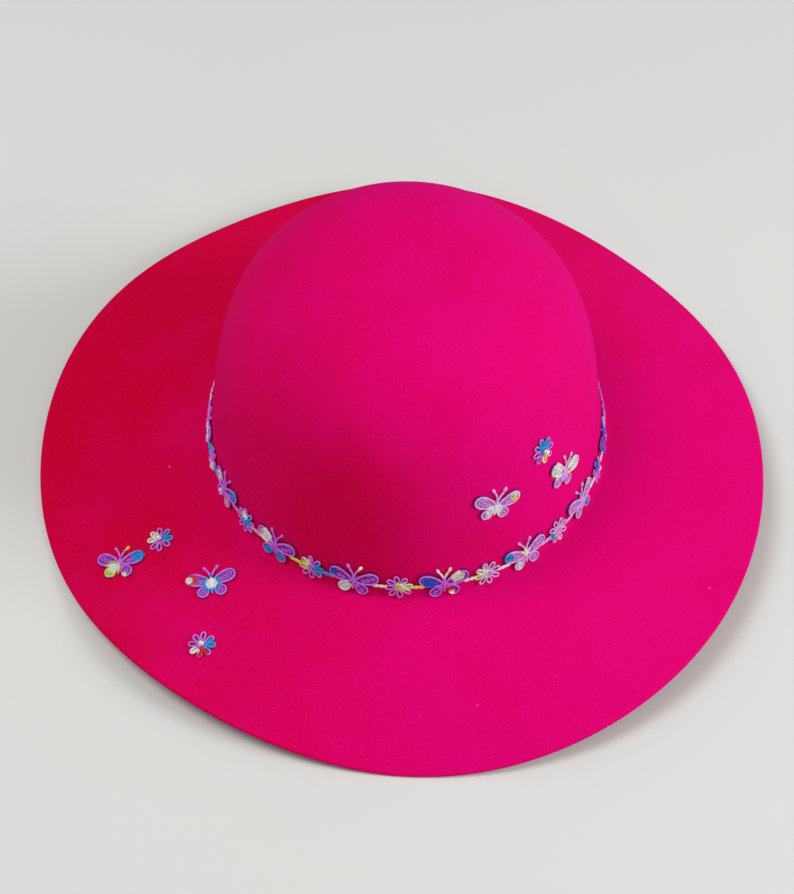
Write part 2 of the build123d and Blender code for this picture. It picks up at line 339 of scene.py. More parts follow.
def make_felt_material(name, dye, deep_dye_and_painted_shade, sheen):
    """Wool felt that goes over from its dye to the darker deep dye away from the lamp's side, as painted
    shade.
    """
    material = bpy.data.materials.new(name)
    material.use_nodes = True
    nodes, links = material.node_tree.nodes, material.node_tree.links
    shader = nodes["Principled BSDF"]
    nap = nodes.new("ShaderNodeGroup")
    nap.node_tree = felt_nap_and_painted_light
    nap.inputs["Dye"].default_value = dye
    nap.inputs["Deep Dye And Painted Shade"].default_value = deep_dye_and_painted_shade
    nap.inputs["Grain"].default_value = 1250.0
    links.new(nap.outputs["Color"], shader.inputs["Base Color"])
    links.new(nap.outputs["Roughness"], shader.inputs["Roughness"])
    bump = nodes.new("ShaderNodeBump")
    bump.inputs["Strength"].default_value = 0.85
    bump.inputs["Distance"].default_value = 0.0004
    links.new(nap.outputs["Height"], bump.inputs["Height"])
    links.new(bump.outputs["Normal"], shader.inputs["Normal"])
    shader.inputs["Sheen Weight"].default_value = sheen
    shader.inputs["Sheen Roughness"].default_value = 0.45
    shader.inputs["Sheen Tint"].default_value = (0.70, 0.02, 0.90, 1)
    shader.inputs["Specular IOR Level"].default_value = 0.02
    return material


# The felt's dye as lit, then its darker copy used as painted shade.
felt_material = make_felt_material("fuchsia_wool_felt", (0.79, 0.0012, 0.175, 1),
                                   (0.67, 0.0004, 0.034, 1), 0.22)
felt_body = build_felt()
felt_body.data.materials.append(felt_material)
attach(felt_body, "root")
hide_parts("felt_body")

# ============================================================ sweatband
# Grosgrain ribbon sewn in round the inside of the wall, its ends covered by a short tab.
# The stitches show as a row of short dashes near the ribbon's lower edge.


def make_ribbon_material():
    """Grosgrain: fine upright ribs all the way round the band, painted darker in the grooves as painted
    shade.
    """
    material = bpy.data.materials.new("grosgrain_ribbon")
    material.use_nodes = True
    nodes, links = material.node_tree.nodes, material.node_tree.links
    shader = nodes["Principled BSDF"]
    place = nodes.new("ShaderNodeTexCoord")
    apart = nodes.new("ShaderNodeSeparateXYZ")
    links.new(place.outputs["Object"], apart.inputs[0])
    around = nodes.new("ShaderNodeMath")
    around.operation = "ARCTAN2"
    links.new(apart.outputs["Y"], around.inputs[0])
    links.new(apart.outputs["X"], around.inputs[1])
    ribs = nodes.new("ShaderNodeMath")
    ribs.operation = "MULTIPLY"
    ribs.inputs[1].default_value = 620.0
    links.new(around.outputs[0], ribs.inputs[0])
    wave = nodes.new("ShaderNodeMath")
    wave.operation = "SINE"
    links.new(ribs.outputs[0], wave.inputs[0])
    shade = nodes.new("ShaderNodeMapRange")
    shade.inputs["From Min"].default_value = -1.0
    links.new(wave.outputs[0], shade.inputs["Value"])
    # Painted shade: the darker first colour sits in the grooves between the ribs, the second on their
    # crests.
    colour = nodes.new("ShaderNodeMix")
    colour.data_type = "RGBA"
    colour.inputs["A"].default_value = (0.40, 0.001, 0.060, 1)
    colour.inputs["B"].default_value = (0.62, 0.003, 0.12, 1)
    links.new(shade.outputs[0], colour.inputs["Factor"])
    links.new(colour.outputs["Result"], shader.inputs["Base Color"])
    bump = nodes.new("ShaderNodeBump")
    bump.inputs["Strength"].default_value = 0.6
    bump.inputs["Distance"].default_value = 0.0003
    links.new(shade.outputs[0], bump.inputs["Height"])
    links.new(bump.outputs["Normal"], shader.inputs["Normal"])
    rough = nodes.new("ShaderNodeMapRange")
    rough.inputs["To Min"].default_value = 0.72
    rough.inputs["To Max"].default_value = 0.52
    links.new(shade.outputs[0], rough.inputs["Value"])
    links.new(rough.outputs[0], shader.inputs["Roughness"])
    shader.inputs["Sheen Weight"].default_value = 0.12
    shader.inputs["Sheen Tint"].default_value = (1.0, 0.15, 0.50, 1)
    shader.inputs["Specular IOR Level"].default_value = 0.20
    return material


ribbon_material = make_ribbon_material()
for node in ("sweatband", "sweatband_tab"):
    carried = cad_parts[node]
    carried.data.materials.clear()
    carried.data.materials.append(ribbon_material)


def make_thread_ply_group():
    """Fine unevenness of a spun thread: a close grain in its colour, height and gloss."""
    group = bpy.data.node_groups.new("thread_ply", "ShaderNodeTree")
    group.interface.new_socket("Color", in_out="INPUT", socket_type="NodeSocketColor")
    group.interface.new_socket("Scale", in_out="INPUT", socket_type="NodeSocketFloat")
    group.interface.new_socket("Color", in_out="OUTPUT", socket_type="NodeSocketColor")
    group.interface.new_socket("Height", in_out="OUTPUT", socket_type="NodeSocketFloat")
    group.interface.new_socket("Roughness", in_out="OUTPUT", socket_type="NodeSocketFloat")
    nodes, links = group.nodes, group.links
    inputs, outputs = nodes.new("NodeGroupInput"), nodes.new("NodeGroupOutput")
    place = nodes.new("ShaderNodeTexCoord")
    noise = nodes.new("ShaderNodeTexNoise")
    noise.inputs["Detail"].default_value = 3.0
    noise.inputs["Roughness"].default_value = 0.6
    links.new(inputs.outputs["Scale"], noise.inputs["Scale"])
    links.new(place.outputs["Object"], noise.inputs["Vector"])
    spread = nodes.new("ShaderNodeMapRange")
    spread.inputs["From Min"].default_value = 0.3
    spread.inputs["From Max"].default_value = 0.7
    spread.inputs["To Min"].default_value = 0.80
    spread.inputs["To Max"].default_value = 1.08
    links.new(noise.outputs["Fac"], spread.inputs["Value"])
    scaled = nodes.new("ShaderNodeVectorMath")
    scaled.operation = "SCALE"
    links.new(inputs.outputs["Color"], scaled.inputs[0])
    links.new(spread.outputs[0], scaled.inputs["Scale"])
    links.new(scaled.outputs[0], outputs.inputs["Color"])
    links.new(noise.outputs["Fac"], outputs.inputs["Height"])
    rough = nodes.new("ShaderNodeMapRange")
    rough.inputs["To Min"].default_value = 0.24
    rough.inputs["To Max"].default_value = 0.44
    links.new(noise.outputs["Fac"], rough.inputs["Value"])
    links.new(rough.outputs[0], outputs.inputs["Roughness"])
    return group


thread_ply = make_thread_ply_group()


def make_thread_material(name, colour=None):
    """Rayon embroidery thread, dyed one colour or read from the piece's own colours."""
    material = bpy.data.materials.new(name)
    material.use_nodes = True
    nodes, links = material.node_tree.nodes, material.node_tree.links
    shader = nodes["Principled BSDF"]
    ply = nodes.new("ShaderNodeGroup")
    ply.node_tree = thread_ply
    ply.inputs["Scale"].default_value = 2600.0
    if colour is None:
        dyed = nodes.new("ShaderNodeVertexColor")
        dyed.layer_name = "thread"
        links.new(dyed.outputs["Color"], ply.inputs["Color"])
    else:
        ply.inputs["Color"].default_value = colour
    links.new(ply.outputs["Color"], shader.inputs["Base Color"])
    links.new(ply.outputs["Roughness"], shader.inputs["Roughness"])
    bump = nodes.new("ShaderNodeBump")
    bump.inputs["Strength"].default_value = 0.25
    bump.inputs["Distance"].default_value = 0.0001
    links.new(ply.outputs["Height"], bump.inputs["Height"])
    links.new(bump.outputs["Normal"], shader.inputs["Normal"])
    shader.inputs["Specular IOR Level"].default_value = 0.38
    return material


stitch_material = make_thread_material("sewing_thread", (0.60, 0.004, 0.13, 1))
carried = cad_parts["sweatband_stitches"]
carried.data.materials.clear()
carried.data.materials.append(stitch_material)

# ============================================================ lace motifs
# Guipure lace: satin cords stitched round padded wings and petals in thread that changes
# colour as it runs, from lilac to sky blue, cream, yellow-green and red. Sizes within a
# motif are in millimetres, flat on its back.
# Each piece's tone paints light and shade on these colours: raised cords, feelers and bodies are lit up,
# padded wings and eyes are darkened.
lilac = (0.60, 0.13, 0.80)
pale_lilac = (0.80, 0.34, 0.90)
violet = (0.26, 0.05, 0.48)
sky = (0.01, 0.27, 0.78)
deep_blue = (0.015, 0.09, 0.60)
cream = (0.92, 0.82, 0.62)
white = (0.93, 0.92, 0.91)
lime = (0.60, 0.66, 0.08)
yellow = (0.90, 0.70, 0.18)
red = (0.66, 0.01, 0.04)
rose = (0.84, 0.34, 0.46)
# Darker copies of the two lilacs, for the padded wings between the raised cords: painted shade.
shaded_lilac = (0.30, 0.026, 0.54)
shaded_pale_lilac = (0.64, 0.21, 0.78)
# Near-black violet for the dark cord round each wing: a painted shadow.
painted_shadow_colour = (0.060, 0.004, 0.16)
# Dark fill for the eyelet holes and petal slits, where the felt lies in shade: painted shade.
painted_shade_in_holes = (0.16, 0.003, 0.10)


class Lace:
    """Points, faces and colours of one motif, gathered in flat millimetres."""

    def __init__(self, dye_patches, ground, seed):
        self.points, self.faces, self.colours = [], [], []
        self.count = 0
        self.dye_patches, self.ground = dye_patches, ground
        self.random = np.random.default_rng(seed)
        self.phase = self.random.uniform(0, 6.28, 4)

    def dye(self, flat, painted_shading, ground):
        """Colour of the thread at flat places: the ground, then each patch over it, scaled at last by
        the painted light and shade.
        """
        p = self.phase
        wobble = 0.22 * np.stack([np.sin(flat[:, 1] * 2.3 + p[0]) + np.sin(flat[:, 0] * 3.1 + p[1]),
                                  np.sin(flat[:, 0] * 2.1 + p[2]) + np.sin(flat[:, 1] * 2.9 + p[3])], -1)
        colour = np.tile(np.array(ground, float), (len(flat), 1))
        for x, y, reach, patch in self.dye_patches:
            away = np.hypot(flat[:, 0] + wobble[:, 0] - x, flat[:, 1] + wobble[:, 1] - y)
            share = np.clip((reach - away) / 0.5 + 0.5, 0, 1)[:, None]
            colour = colour * (1 - share) + np.array(patch) * share
        return np.clip(colour * np.asarray(painted_shading).reshape(-1, 1), 0, 0.95)

    def add(self, points, faces, painted_shading, ground=None):
        points = np.asarray(points, float)
        self.points.append(points)
        self.faces += [tuple(i + self.count for i in face) for face in faces]
        painted_shading = np.broadcast_to(painted_shading, len(points))
        self.colours.append(self.dye(points[:, :2], painted_shading, ground or self.ground))
        self.count += len(points)

    def cord(self, line, radius, lift, closed=True, painted_shading=1.0, sides=7, stitch=0.42, ground=None):
        """Satin-covered cord along a line, with a rib at each turn of the thread, each rib painted
        lighter and the narrow turn after it darker, as painted highlight and shade.
        """
        line = np.asarray(line, float)
        if closed:
            line = np.concatenate([line, line[:1]])
        length = np.concatenate([[0], np.cumsum(np.hypot(*np.diff(line, axis=0).T))])
        steps = max(6, int(length[-1] / stitch * 2))
        at = np.linspace(0, length[-1], steps, endpoint=not closed)
        centre = np.stack([np.interp(at, length, line[:, k]) for k in (0, 1)], -1)
        if closed:
            forward = np.roll(centre, -1, axis=0) - np.roll(centre, 1, axis=0)
        else:
            forward = np.gradient(centre, axis=0)
        forward /= np.linalg.norm(forward, axis=1, keepdims=True)
        side = np.stack([forward[:, 1], -forward[:, 0]], -1)
        rib = np.where(np.arange(steps) % 2 == 0, 1.0, 0.86)
        turn_angle = np.linspace(0, 2 * np.pi, sides, endpoint=False)
        r = (radius * rib)[:, None]
        across = r * np.cos(turn_angle)[None, :]
        high = lift + r * np.sin(turn_angle)[None, :]
        x = centre[:, 0:1] + side[:, 0:1] * across
        y = centre[:, 1:2] + side[:, 1:2] * across
        points = np.stack([x, y, high], -1).reshape(-1, 3)
        faces = ring_faces(steps, sides, closed_rows=closed)
        if not closed:
            faces.append(tuple(range(sides)))
            faces.append(tuple(range((steps - 1) * sides, steps * sides))[::-1])
        # Painted highlight and shade: every other ring of the cord is lit up and the rings between are
        # darkened.
        shaded_tones = painted_shading * np.repeat(np.where(np.arange(steps) % 2 == 0, 1.38, 0.70), sides)
        self.add(points, faces, shaded_tones, ground)

    def pad(self, outline, height, direction, painted_shading=0.92, pitch=0.45, rows=7, ground=None):
        """Padded area filled with satin stitches, domed in the middle, with painted highlight on the
        stitch ridges and painted shade in the grooves between them.
        """
        outline = np.asarray(outline, float)
        middle = outline.mean(0)
        count = len(outline)
        reach = np.linspace(1, 0.12, rows)
        flat = middle + (outline - middle)[None] * reach[:, None, None]
        underside, rim = 0.02, 0.35
        dome = height * np.sqrt(np.clip(1 - reach**2, 0, 1))[:, None] * np.ones(count)
        across = flat @ np.array([math.cos(direction), math.sin(direction)])
        ridge = np.sin(across * 2 * np.pi / pitch)
        high = rim + dome + 0.09 * ridge * (reach[:, None] < 0.99)
        top = np.concatenate([flat, high[..., None]], -1).reshape(-1, 3)
        under = np.concatenate([outline, np.full((count, 1), underside)], -1)
        points = np.concatenate([top, under, [[*middle, height + rim]], [[*middle, underside]]])
        faces = ring_faces(rows, count)
        for c in range(count):
            step = (c + 1) % count
            faces.append(((rows - 1) * count + c, (rows - 1) * count + step, rows * count + count))
            faces.append((rows * count + c, rows * count + step, step, c))
            faces.append((rows * count + step, rows * count + c, rows * count + count + 1))
        # Painted highlight and shade along the stitch ridges.
        shaded_tones = painted_shading * (0.93 + 0.12 * ridge.reshape(-1))
        shaded_tones = np.concatenate([shaded_tones, np.full(count + 2, painted_shading)])
        self.add(points, faces, shaded_tones, ground)


def oval(x, y, length, width, turn_degrees=0.0, pinch=0.0, count=40):
    """Outline of a wing or petal, narrower at its inner end by the pinch."""
    t = np.linspace(0, 2 * np.pi, count, endpoint=False)
    u, v = length / 2 * np.cos(t), width / 2 * np.sin(t) * (1 + pinch * np.cos(t))
    c, s = math.cos(math.radians(turn_degrees)), math.sin(math.radians(turn_degrees))
    return np.stack([x + u * c - v * s, y + u * s + v * c], -1)


forewing_eyelets = ((8.5, 3.5, 0.80), (6.5, 2.1, 0.74), (4.6, 1.3, 0.66))    # x, y, radius
hindwing_eyelets = ((3.9, -3.9, 0.80), (2.3, -2.0, 0.50))


def embroider_butterfly(lace):
    """Two padded pairs of wings with corded edges, ring eyelets, a body and feelers, and a dark cord
    round each wing as a painted shadow.
    """
    # The padded wings take the darker copy of their lilac, as painted shade.
    shaded_ground = shaded_pale_lilac if lace.ground == pale_lilac else shaded_lilac
    for side in (1, -1):
        mirror = np.array([side, 1])
        direction = math.radians(70) if side > 0 else math.radians(110)
        fore_middle, hind_middle = np.array([5.75, 2.35]), np.array([3.6, -3.2])
        fore = oval(*fore_middle, length=10.4, width=5.3, turn_degrees=20, pinch=0.38, count=48) * mirror
        hind = oval(*hind_middle, length=6.0, width=4.4, turn_degrees=-50, pinch=0.30, count=36) * mirror
        lace.pad(hind, height=0.16, direction=direction, painted_shading=0.88, ground=shaded_ground)
        lace.pad(fore, height=0.18, direction=direction, painted_shading=0.88, ground=shaded_ground)
        for wing, middle in ((hind, hind_middle * mirror), (fore, fore_middle * mirror)):
            # A dark cord just outside each wing, low on the felt: a painted shadow round the raised
            # edge.
            shadow_outline = middle + (wing - middle) * 1.14
            lace.cord(shadow_outline, radius=0.25, lift=0.28, sides=5, ground=painted_shadow_colour)
        lace.cord(hind, radius=0.40, lift=0.60, painted_shading=1.14)
        lace.cord(fore, radius=0.43, lift=0.66, painted_shading=1.16)
        inner = [(1.6 + 6.0 * k, 2.9 + 1.6 * k + 0.95 * math.sin(k * 2.7)) for k in np.linspace(0, 1, 9)]
        lace.cord(np.array(inner) * mirror, radius=0.26, lift=0.72, closed=False, painted_shading=1.20, sides=6)
        for x, y, r in forewing_eyelets:
            ring = oval(x, y, length=2 * r, width=2 * r, count=14) * mirror
            lace.cord(ring, radius=0.26, lift=0.80, painted_shading=1.16, sides=6)
            # Each eyelet's hole is filled with a dark pad: painted shade.
            hole = oval(x, y, length=1.3 * r, width=1.3 * r, count=10) * mirror
            lace.pad(hole, height=0.28, direction=0, painted_shading=0.9, pitch=0.5, rows=3, ground=painted_shade_in_holes)
        for x, y, r in hindwing_eyelets:
            ring = oval(x, y, length=2 * r, width=1.9 * r, count=14) * mirror
            lace.cord(ring, radius=0.25, lift=0.76, painted_shading=1.14, sides=6)
            hole = oval(x, y, length=1.2 * r, width=1.2 * r, count=10) * mirror
            lace.pad(hole, height=0.26, direction=0, painted_shading=0.9, pitch=0.5, rows=3, ground=painted_shade_in_holes)
        feeler = [(0.35, 3.8), (0.75, 5.0), (1.4, 6.2), (2.1, 7.1)]
        lace.cord(np.array(feeler) * mirror, radius=0.50, lift=0.60, closed=False, painted_shading=1.20)
        bulb = oval(2.75, 8.0, length=2.6, width=1.45, turn_degrees=54, pinch=0.15, count=18) * mirror
        lace.pad(bulb, height=0.66, direction=math.radians(54), painted_shading=1.20, pitch=0.5, rows=5)
    body = oval(0, -0.3, length=9.2, width=2.1, turn_degrees=90, pinch=0.12, count=30)
    lace.pad(body, height=0.85, direction=math.radians(90), painted_shading=1.08, pitch=0.5, rows=6)


def embroider_flower(lace, beaded):
    """Eight looped petals round a ring with a raised middle, each petal's slit filled with a dark pad as
    painted shade.
    """
    for k in range(8):
        turn_degrees = 45 * k + 10 + lace.random.uniform(-4, 4)
        c, s = math.cos(math.radians(turn_degrees)), math.sin(math.radians(turn_degrees))
        reach = 3.95 + lace.random.uniform(-0.15, 0.15)
        petal = oval(reach * c, reach * s, length=3.9, width=1.95, turn_degrees=turn_degrees,
                     pinch=0.22, count=26)
        lace.cord(petal, radius=0.44, lift=0.54 + 0.05 * (k % 2), painted_shading=1.16)
        slit = oval(reach * c, reach * s, length=2.7, width=0.9, turn_degrees=turn_degrees,
                    pinch=0.2, count=14)
        lace.pad(slit, height=0.02, direction=math.radians(turn_degrees), painted_shading=0.9, pitch=0.4,
                 rows=3, ground=painted_shade_in_holes)
    lace.cord(oval(0, 0, length=3.5, width=3.5, count=30), radius=0.54, lift=0.74, painted_shading=1.10, sides=8)
    if beaded:
        eye = oval(0, 0, length=2.8, width=2.8, count=20)
        lace.pad(eye, height=0.05, direction=0.3, painted_shading=0.5, pitch=0.4, rows=4)
    else:
        eye = oval(0, 0, length=2.6, width=2.6, count=20)
        lace.pad(eye, height=0.26, direction=0.3, painted_shading=0.55, pitch=0.4, rows=5)
        knot = oval(0, 0, length=1.4, width=1.4, count=14)
        lace.cord(knot, radius=0.32, lift=0.95, painted_shading=1.22, sides=6)


lace_material = make_thread_material("variegated_lace_thread")


def finish_lace(name, lace, seat, node):
    """Lays the flat motif on the hat and makes it the piece for its node."""
    flat = np.concatenate(lace.points)
    placed = seat(flat[:, 0] / 1000, flat[:, 1] / 1000, flat[:, 2] / 1000)
    piece = new_mesh(name, placed, lace.faces, np.concatenate(lace.colours))
    piece.data.materials.append(lace_material)
    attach(piece, "root")
    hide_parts(node)
    return piece


# ============================================================ lace trim round the crown
# One length of lace stands round the foot of the wall, its top leaning in towards the felt.
# Short bars of two twisted cords join each butterfly to the flowers on either side.
motif_pairs = 15
trim_rise = 0.0076
trim_clearance = 0.0008
trim_tilt = math.radians(12)
trim_start = 0.044
oval_angles = np.linspace(0, 2 * np.pi, 7201)
trim_side = half_width * float(crown_inset(np.array(trim_rise))) + trim_clearance
trim_front = half_length * float(crown_inset(np.array(trim_rise))) + trim_clearance
oval_line = np.stack([trim_side * np.cos(oval_angles), trim_front * np.sin(oval_angles)], -1)
oval_length = np.concatenate([[0], np.cumsum(np.hypot(*np.diff(oval_line, axis=0).T))])
trim_length = oval_length[-1]


def seat_on_trim(share):
    """Seat for a motif standing on the trim's line, part of the way round."""
    def seat(x, y, h):
        angle = np.interp((share * trim_length + x) % trim_length, oval_length, oval_angles)
        along = np.stack([-trim_side * np.sin(angle), trim_front * np.cos(angle)], -1)
        along /= np.linalg.norm(along, axis=-1, keepdims=True)
        outward = np.stack([along[:, 1], -along[:, 0], 0 * angle], -1)
        upward = np.array([0, 0, 1.0]) * math.cos(trim_tilt) - outward * math.sin(trim_tilt)
        facing = outward * math.cos(trim_tilt) + np.array([0, 0, 1.0]) * math.sin(trim_tilt)
        base = np.stack([crown_x + trim_side * np.cos(angle), crown_y + trim_front * np.sin(angle),
                         np.full(len(angle), break_height + trim_rise)], -1)
        return base + upward * y[:, None] + facing * h[:, None]
    return seat


butterfly_dyes = {
    9: (lilac, [(8, 4, 2.6, sky), (-7, 3, 2.5, cream), (-3, -4, 1.8, white), (4, -4, 2.2, rose)]),
    10: (lilac, [(-6, 2.6, 3.6, white), (-9, 3, 1.4, rose), (-3, -4, 2.6, sky), (3, -4, 2.4, sky)]),
    11: (lilac, [(-9, 3.6, 1.9, deep_blue), (-3.6, -3.4, 3.1, white), (3, 8.3, 1.5, white)]),
    12: (lilac, [(-6.6, 2.0, 3.3, deep_blue), (6.0, 3.6, 3.0, cream), (0.5, 7.2, 3.3, cream),
                 (2.4, -4.2, 2.6, red), (3.0, -5.2, 1.3, white)]),
    13: (pale_lilac, [(-9, 3.4, 2.4, sky), (0, 2.4, 2.2, cream), (-1.8, -1.4, 1.3, rose),
                      (-3.8, -3.8, 2.0, white)]),
    14: (pale_lilac, [(8.6, 5, 1.6, cream), (-1.4, 5.4, 1.7, sky), (3.8, -4.6, 1.9, sky)]),
    15: (violet, [(0, 5, 2.6, deep_blue), (6, 4, 2.6, pale_lilac), (3, -4, 1.5, rose)]),
    1: (lilac, [(6, 3, 3, rose), (-6, 3, 2.4, white)]),
}
flower_dyes = {
    8: (lilac, [(-3, 2, 2.6, sky), (2, -3, 2.6, cream)]),
    9: (lilac, [(0.4, 1.2, 3.6, sky), (-0.8, 2.8, 2.0, white)]),
    10: (lilac, [(-3.6, 0.6, 2.6, lime), (-2.4, 3.2, 1.8, white), (3.6, 1, 2.6, sky)]),
    11: (lilac, [(0.4, 0.6, 1.9, lime), (3.2, 0.6, 2.7, cream), (2.2, -1.2, 1.3, lime)]),
    12: (pale_lilac, [(-2.4, 1.6, 2.8, cream), (-4.6, 0, 1.5, lime)]),
    13: (pale_lilac, [(-4.2, -0.6, 1.9, sky), (0.6, -5, 1.4, cream)]),
    14: (lilac, [(0, 3, 2.8, deep_blue), (3, -3, 1.6, cream)]),
    15: (lilac, [(-2, 2, 2.6, violet), (2, -3, 2.0, rose)]),
}
spare_dyes = [sky, cream, white, rose, lime, deep_blue, yellow, violet]


def dyes_for(table, number, seed):
    """Dye patches of a motif, or a mix of its own where the table names none."""
    if number in table:
        return table[number]
    pick = np.random.default_rng(seed)
    patches = []
    for _ in range(3):
        x, y, reach = pick.uniform(-7, 7), pick.uniform(-4, 5), pick.uniform(1.8, 3.2)
        patches.append((x, y, reach, spare_dyes[pick.integers(len(spare_dyes))]))
    return (lilac if pick.uniform() < 0.7 else pale_lilac), patches


for pair in range(motif_pairs):
    ground, patches = dyes_for(butterfly_dyes, pair + 1, 100 + pair)
    lace = Lace(patches, ground, 300 + pair)
    embroider_butterfly(lace)
    share = trim_start + pair / motif_pairs
    finish_lace(f"lace_butterfly_{pair + 1:02d}", lace, seat_on_trim(share),
                f"trim_butterfly_{pair + 1:02d}")
    ground, patches = dyes_for(flower_dyes, pair + 1, 200 + pair)
    lace = Lace(patches, ground, 400 + pair)
    embroider_flower(lace, False)
    share += 0.5 / motif_pairs
    finish_lace(f"lace_flower_{pair + 1:02d}", lace, seat_on_trim(share),
                f"trim_flower_{pair + 1:02d}")

motif_pitch = trim_length * 1000 / (2 * motif_pairs)
bar_start = 8.8                      # under the wing, out from the butterfly's body
bar_length = motif_pitch - 13.9      # ends 5.1 short of the flower's middle, in its petals
bar_twist = 0.42
bar_dyes = {(9, 1): lilac, (10, -1): rose, (10, 1): lime, (11, -1): sky, (11, 1): cream,
            (12, -1): lime, (12, 1): cream, (13, -1): white, (13, 1): pale_lilac}
spare_bars = [white, pale_lilac, lime, cream, lilac, rose, white, sky]
bars = []
for pair in range(motif_pairs):
    for side in (1, -1):
        colour = bar_dyes.get((pair + 1, side), spare_bars[(pair * 2 + side) % len(spare_bars)])
        lace = Lace([], colour, 500 + pair)
        for strand in (0, math.pi):
            steps = np.linspace(0, 1, 14)
            line = [(side * (bar_start + bar_length * k), bar_twist * math.sin(8 * k + strand))
                    for k in steps]
            lace.cord(line, radius=0.50, lift=0.60, closed=False, painted_shading=1.05, stitch=0.5)
        flat = np.concatenate(lace.points)
        seat = seat_on_trim(trim_start + pair / motif_pairs)
        bars.append((seat(*(flat / 1000).T), lace.faces, np.concatenate(lace.colours)))
points, faces, colours, start = [], [], [], 0
for placed, bar_faces, bar_colours in bars:
    points.append(placed)
    colours.append(bar_colours)
    faces += [tuple(i + start for i in face) for face in bar_faces]
    start += len(placed)
bridging_bars = new_mesh("lace_bridging_bars", np.concatenate(points), faces, np.concatenate(colours))
bridging_bars.data.materials.append(lace_material)
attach(bridging_bars, "root")
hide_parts("trim_bridging_bars")

# ============================================================ loose butterflies and flowers
# Motifs cut from the same lace and sewn on one at a time: four on the front of the brim,
# three on the side of the crown. They lie down on the felt and follow its curve.
sewn_clearance = 0.00025


def settle_on_crown(p):
    """Nearest place on the crown's outer face, level with each point, and its normal."""
    angle = np.arctan2((p[:, 1] - crown_y) / half_length, (p[:, 0] - crown_x) / half_width)
    rise = p[:, 2] - break_height
    step = 1e-4
    along = crown_point(angle, rise + step) - crown_point(angle, rise - step)
    around = crown_point(angle + step, rise) - crown_point(angle - step, rise)
    normal = np.cross(around, along)
    return crown_point(angle, rise), normal / np.linalg.norm(normal, axis=-1, keepdims=True)


def settle_on_brim(p):
    """Place on the brim's upper face above or below each point, and its normal."""
    x, y = p[:, 0] - crown_x, p[:, 1] - crown_y
    out = np.full(len(x), 0.03)
    for _ in range(8):
        angle = np.arctan2(y / (half_length + out), x / (half_width + out))
        c, s = np.cos(angle), np.sin(angle)
        out = x * c + y * s - half_width * c * c - half_length * s * s
    step = 1e-4
    along = brim_point(angle, out + step) - brim_point(angle, out - step)
    around = brim_point(angle + step, out) - brim_point(angle - step, out)
    normal = np.cross(along, around)
    return brim_point(angle, out), normal / np.linalg.norm(normal, axis=-1, keepdims=True)


def seat_on_felt(face, settle, angle_degrees, run, uphill, turn_degrees):
    """Seat for a motif laid on the felt, its top uphill and then turned."""
    angle, run = np.array([math.radians(angle_degrees)]), np.array([run])
    origin = face(angle, run)
    normal = settle(origin)[1][0]
    climb = (face(angle, run + uphill) - origin)[0]
    across = np.cross(climb, normal)
    across /= np.linalg.norm(across)
    climb = np.cross(normal, across)
    c, s = math.cos(math.radians(turn_degrees)), math.sin(math.radians(turn_degrees))
    x_way, y_way = across * c + climb * s, climb * c - across * s

    def seat(x, y, h):
        flat = origin[0] + x[:, None] * x_way + y[:, None] * y_way
        touch, out = settle(flat)
        return touch + out * (h + sewn_clearance)[:, None]
    return seat


def brim_seat(angle, out, turned):
    return seat_on_felt(brim_point, settle_on_brim, angle, out, -1e-4, turned)


def crown_seat(angle, rise, turned):
    return seat_on_felt(crown_point, settle_on_crown, angle, rise, 1e-4, turned)


loose_butterflies = [
    ("brim_butterfly_1", brim_seat(208, 0.0545, 58), lilac,
     [(8.4, 3.8, 3.1, sky), (-3.1, -2.4, 4.0, lime), (-2.8, -1.8, 2.3, white), (3.0, 8.2, 1.7, lime),
      (3.4, -5.6, 1.2, cream)]),
    ("brim_butterfly_2", brim_seat(224, 0.0280, 52), lilac,
     [(0, 0.0, 4.3, sky), (0, 0.0, 2.7, white), (-9.0, 3.2, 2.8, red), (-10.2, 3.4, 1.7, white)]),
    ("crown_butterfly_1", crown_seat(296, 0.0450, -15), pale_lilac,
     [(-0.6, -2.6, 3.9, white), (8.8, 3.4, 2.2, yellow), (9.6, 4.4, 1.5, white)]),
    ("crown_butterfly_2", crown_seat(321.5, 0.0370, -27), pale_lilac,
     [(-6.2, 2.6, 4.4, white), (-8.6, 1.0, 1.3, lime), (6.2, 2.8, 4.2, white), (4.0, 0.6, 1.3, lime)]),
]
loose_flowers = [
    ("1", "brim", brim_seat(208, 0.0340, 10), lilac,
     [(-3.4, -2.0, 2.9, cream), (1.4, 3.6, 2.9, sky)]),
    ("2", "brim", brim_seat(231.5, 0.0510, 20), lilac,
     [(3.8, 1.3, 3.0, sky), (1.2, -3.6, 2.6, red), (-2.2, -3.8, 1.9, white)]),
    ("1", "crown", crown_seat(314, 0.0590, -10), lilac,
     [(0.6, 2.6, 3.6, sky), (0.8, -4.0, 2.4, yellow), (-0.4, -5.2, 1.1, white)]),
]
for number, (node, seat, ground, patches) in enumerate(loose_butterflies):
    lace = Lace(patches, ground, 600 + number)
    embroider_butterfly(lace)
    finish_lace("sewn_" + node, lace, seat, node)


# ============================================================ pearl beads
# A drilled glass pearl is sewn into the middle of each loose flower.
bead_radius = 0.00150
bead_hole = 0.00035
bead_height = 0.0021                 # middle of the bead above the flower's back


